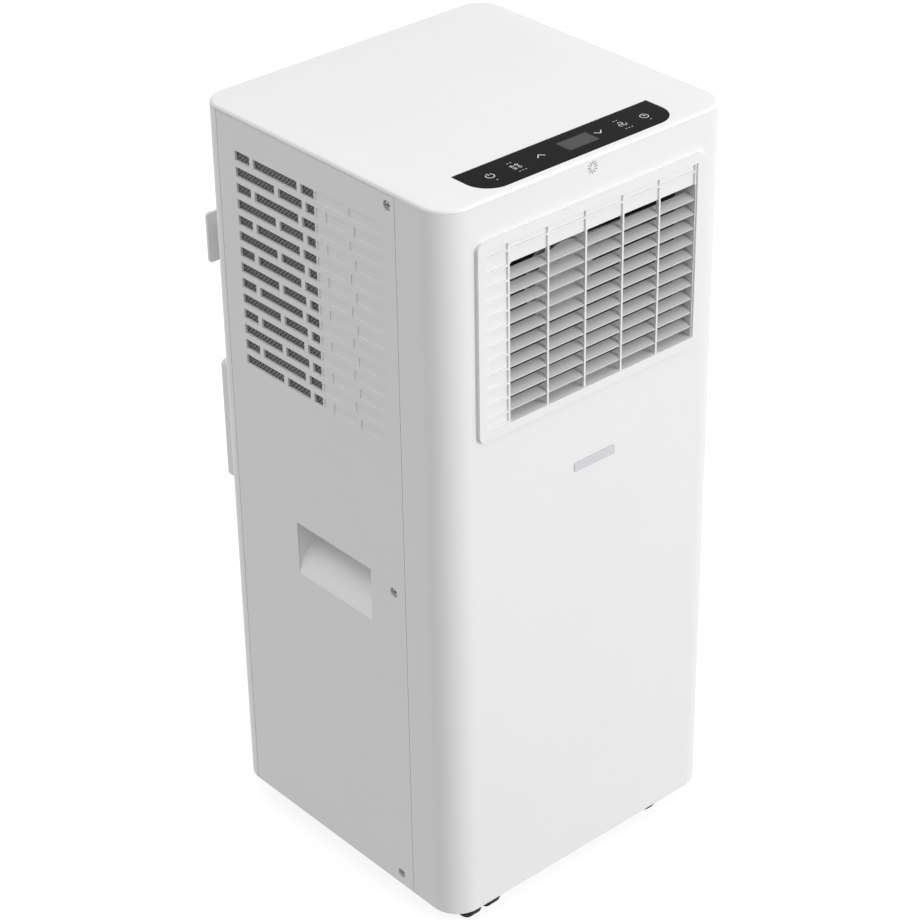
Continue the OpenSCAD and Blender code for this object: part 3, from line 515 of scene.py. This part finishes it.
# %% Strokes
def stroke(path, width, closed=False):
    """The outline of a path drawn with a pen: left and right edge points, shape (n, 2, 2)."""
    path = np.asarray(path, float)
    before = np.roll(path, 1, 0) if closed else np.concatenate([path[:1] * 2 - path[1:2], path[:-1]])
    after = np.roll(path, -1, 0) if closed else np.concatenate([path[1:], path[-1:] * 2 - path[-2:-1]])
    into = (path - before) / np.linalg.norm(path - before, axis=1)[:, None]
    out = (after - path) / np.linalg.norm(after - path, axis=1)[:, None]
    middle = into + out
    middle /= np.linalg.norm(middle, axis=1)[:, None]
    normal = np.stack([-middle[:, 1], middle[:, 0]], -1)
    reach = width / 2 / np.maximum((middle * out).sum(1), 0.4)
    return np.stack([path + normal * reach[:, None], path - normal * reach[:, None]], 1), closed


def arc(x, y, radius, start=0.0, end=360.0, points=25):
    """Points on a circle, from one angle to another, in degrees."""
    turn = np.radians(np.linspace(start, end, points))
    return np.stack([x + radius * np.cos(turn), y + radius * np.sin(turn)], -1)


def ring(x, y, radius, width):
    """A whole circle; the last point stops one step short, because the stroke closes itself."""
    return stroke(arc(x, y, radius, 0, 345, 24), width, closed=True)


# %% Ink that lies on a plane
def ink_piece(name, strokes, place, thick, body, material):
    """Turns strokes into thin closed bars: four corners round each path point, capped if open."""
    points, faces, count = [], [], 0
    for edges, closed in strokes:
        low = np.concatenate([edges, np.zeros((len(edges), 2, 1))], -1)
        high = low + [0, 0, thick]
        section = np.stack([low[:, 0], low[:, 1], high[:, 1], high[:, 0]], 1)
        quads = grid_faces(len(section) + closed, 4, ring=True) % (len(section) * 4)
        if not closed:
            last = len(section) * 4
            quads = np.concatenate([quads, [[3, 2, 1, 0], [last - 4, last - 3, last - 2, last - 1]]])
        points.append(section.reshape(-1, 3))
        faces.append(quads + count)
        count += len(section) * 4
    return add_piece(name, place(np.concatenate(points)), np.concatenate(faces), body, material)


def on_panel(points):
    """Drawing in millimetres from the pane's middle to places on the glass."""
    low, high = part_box("control_glass")
    origin = np.array([(low.x + high.x) / 2, (low.y + high.y) / 2, high.z])
    return points * [MM, MM, 1] + origin


# %% The pictograms
def power(x, y):
    """A broken circle with a bar in its gap."""
    return [stroke(arc(x, y, 3.6, 125, 415), 0.8), stroke([[x, y + 1], [x, y + 4.6]], 0.8)]


def chevron(x, y, up):
    """An arrow head that points up where up is 1 and down where it is -1."""
    return [stroke([[x - 4, y - 2 * up], [x, y + 2 * up], [x + 4, y - 2 * up]], 0.9)]


def star(x, y, size):
    """Three crossing bars, for cooling."""
    turns = np.radians([0, 60, 120])
    return [stroke([[x - size * math.cos(t), y - size * math.sin(t)],
                    [x + size * math.cos(t), y + size * math.sin(t)]], 0.55) for t in turns]


def modes(x, y):
    """Star, sun, bars and drop, in a square of four."""
    drop = np.concatenate([arc(x + 2.4, y - 2.6, 1.2, -230, 50, 14), [[x + 2.4, y - 0.2]]])
    bars = [stroke([[x - 4.2, y - 2.6 + k], [x - 1.2, y - 2.6 + k]], 0.5) for k in (-1, 0.2, 1.4)]
    sun = ring(x + 2.4, y + 2.2, 1.3, 0.6)
    return star(x - 2.6, y + 2, 2) + [sun, stroke(drop, 0.5, True)] + bars


def fan(x, y):
    """Three curved blades round a hub."""
    blades = [arc(x + 2.1 * math.cos(t), y + 2.1 * math.sin(t), 2.0, math.degrees(t) - 150,
                  math.degrees(t) + 60, 14) for t in np.radians([90, 210, 330])]
    return [stroke(b, 0.6) for b in blades] + [ring(x, y, 0.7, 0.5)]


def clock(x, y):
    """A dial with two hands."""
    return [ring(x, y, 3.6, 0.7), stroke([[x, y + 2.4], [x, y], [x + 1.9, y]], 0.6)]


def pips(x, y, count, gap=3.2):
    """A row of short bars, like the lamps that show what has been chosen."""
    first = x - gap * (count - 1) / 2
    return [stroke([[first + k * gap - 0.8, y], [first + k * gap + 0.8, y]], 0.6) for k in range(count)]


symbols = power(-82, 1) + modes(-56, 0) + chevron(-29, 1.5, 1) + chevron(35, 1.5, -1)
symbols += fan(59, 0) + clock(83, -1) + pips(-82, -7.5, 1) + pips(-56, -8.5, 3) + pips(59, -8.5, 3)
symbols += pips(83, -8.5, 1) + pips(-56, 8, 2) + pips(59, 8, 2)
INK = 0.03 * MM
ink_piece("panel_symbols", symbols, on_panel, INK, "cabinet", symbol_ink)

# %% The display window and its unlit figures
def figure(x, y):
    """Seven bars, as on any clock: three across and four upright."""
    across = [[[x - 2.2, y + k], [x + 2.2, y + k]] for k in (-5, 0, 5)]
    upright = [[[x + s * 3, y + k - 1.9], [x + s * 3, y + k + 1.9]] for s in (-1, 1) for k in (-2.5, 2.5)]
    return [stroke(bar, 0.9) for bar in across + upright]


window = [stroke([[-5, 0.5], [27, 0.5]], 17)]
ink_piece("display_window", window, on_panel, 0.02 * MM, "cabinet", display_grey)
ink_piece("display_figures", figure(5.5, 0.5) + figure(16.5, 0.5), on_panel, INK, "cabinet",
          segment_grey)

# %% [markdown]
# ## The sun mark on the front
#
# A small ring of short dashes is printed in the middle of the front, above the outlet. It is drawn
# with the same strokes as the panel, in the upright plane of the front shell.

# %% A ring of dashes
MARK_DROP = 9.3 * MM
SHORT_START, LONG_START, RAY_END, RAY_WIDTH = 2.8, 1.8, 5.6, 0.75


def on_front(points):
    """Drawing in millimetres from the mark's middle to places on the front."""
    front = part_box("front_shell")[0].y
    middle = cad_high.z - MARK_DROP
    return np.stack([points[:, 0] * MM, front - points[:, 2], points[:, 1] * MM + middle], -1)


rays = []
for turn in np.radians(np.arange(0, 360, 30)):
    way = np.array([math.cos(turn), math.sin(turn)])
    start = SHORT_START if round(math.degrees(turn)) % 60 else LONG_START
    rays.append(stroke([way * start, way * RAY_END], RAY_WIDTH))
ink_piece("front_mark", rays, on_front, INK, "cabinet", mark_ink)

# %% [markdown]
# ## The studio
#
# The machine stands on a white board that glows, so almost no shadow shows on it. The board takes
# no part in the bounced light: all soft light comes from the sky. The sky is brighter overhead, so
# surfaces that look up are paler than upright ones, and brighter behind the machine, so the round
# corner that faces the camera is a little darker than the side. One large lamp lifts the front.

# %% Floor
def floor_finish():
    """White board whose glow hides all but the deepest shadows."""
    made = Finish("floor", 0.9)
    made.set("Base Color", (0.22, 0.22, 0.22, 1))
    made.set("Emission Color", (1, 1, 1, 1))
    made.set("Emission Strength", 0.86)
    return made.material


HALF_FLOOR = 30.0
corners = [(x * HALF_FLOOR, y * HALF_FLOOR, 0) for x, y in ((-1, -1), (1, -1), (1, 1), (-1, 1))]
floor_mesh = bpy.data.meshes.new("floor")
floor_mesh.from_pydata(corners, [], [(0, 1, 2, 3)])
floor_mesh.materials.append(floor_finish())
floor = bpy.data.objects.new("floor", floor_mesh)
floor.visible_diffuse = False
bpy.context.scene.collection.objects.link(floor)
floor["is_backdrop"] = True
print("floor", len(floor_mesh.polygons), "face")


# %% Lamps
def lamp(name, direction, distance, size, watts):
    """A square area lamp that looks at the machine from a direction, (x, y, z)."""
    light = bpy.data.lights.new(name, "AREA")
    light.size, light.energy = size, watts
    made = bpy.data.objects.new(name, light)
    aim = (cad_low + cad_high) / 2
    made.location = aim + Vector(direction).normalized() * distance
    made.rotation_euler = (aim - made.location).to_track_quat("-Z", "Y").to_euler()
    bpy.context.scene.collection.objects.link(made)
    print(name, "lamp", watts, "W")


lamp("key", direction=(0.25, -0.88, 0.36), distance=4.0, size=1.8, watts=82)

# %% Sky
def studio_sky(level, rise, rear):
    """Strength = level + rise z + rear (x + y) / sqrt 2 for light; the camera sees plain white."""
    world = bpy.data.worlds.new("studio")
    bpy.context.scene.world = world
    world.use_nodes = True
    tree = world.node_tree
    path = Wire(tree, tree.nodes.new("ShaderNodeLightPath").outputs["Is Camera Ray"])
    way = Wire(tree, tree.nodes.new("ShaderNodeTexCoord").outputs["Generated"])
    x, y, z = (way.node("SeparateXYZ", {0: way}, output=k) for k in range(3))
    lit = z * rise + (x + y) * (rear / math.sqrt(2)) + level
    strength = path.math("MULTIPLY_ADD", 1 - lit, lit)
    sky = tree.nodes["Background"]
    tree.links.new(strength.output, sky.inputs["Strength"])
    sky.inputs["Color"].default_value = (1, 1, 1, 1)


studio_sky(level=0.65, rise=0.44, rear=0.20)
bpy.context.scene.view_settings.view_transform = "Standard"
print("sky", bpy.context.scene.world.name)

# %% [markdown]
# ## The camera
#
# A long lens looks down on the machine from its left front. The camera is placed by the angle that
# it looks along, its distance, and a small roll.

# %% Camera
def camera(turn, tilt, roll, distance, aim, lens):
    """Turn is to the right of +Y, tilt is downwards, both in degrees."""
    t, e, r = (math.radians(angle) for angle in (turn, tilt, roll))
    forward = Vector((math.sin(t) * math.cos(e), math.cos(t) * math.cos(e), -math.sin(e)))
    right = Vector((math.cos(t), -math.sin(t), 0))
    up = right.cross(forward)
    across = right * math.cos(r) + up * math.sin(r)
    upward = up * math.cos(r) - right * math.sin(r)
    made = bpy.data.objects.new("camera", bpy.data.cameras.new("camera"))
    made.data.lens = lens
    made.matrix_world = Matrix.Translation(Vector(aim) - forward * distance) @ Matrix(
        (across, upward, -forward)).transposed().to_4x4()
    bpy.context.scene.collection.objects.link(made)
    return made


bpy.context.scene.camera = camera(turn=41.05, tilt=31.42, roll=-0.9, distance=2.4352,
                                  aim=(0.0002, 0.0016, 0.3598), lens=107.63)
print("lens", bpy.context.scene.camera.data.lens, "mm")

# %% Sizes, and the end
low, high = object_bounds()
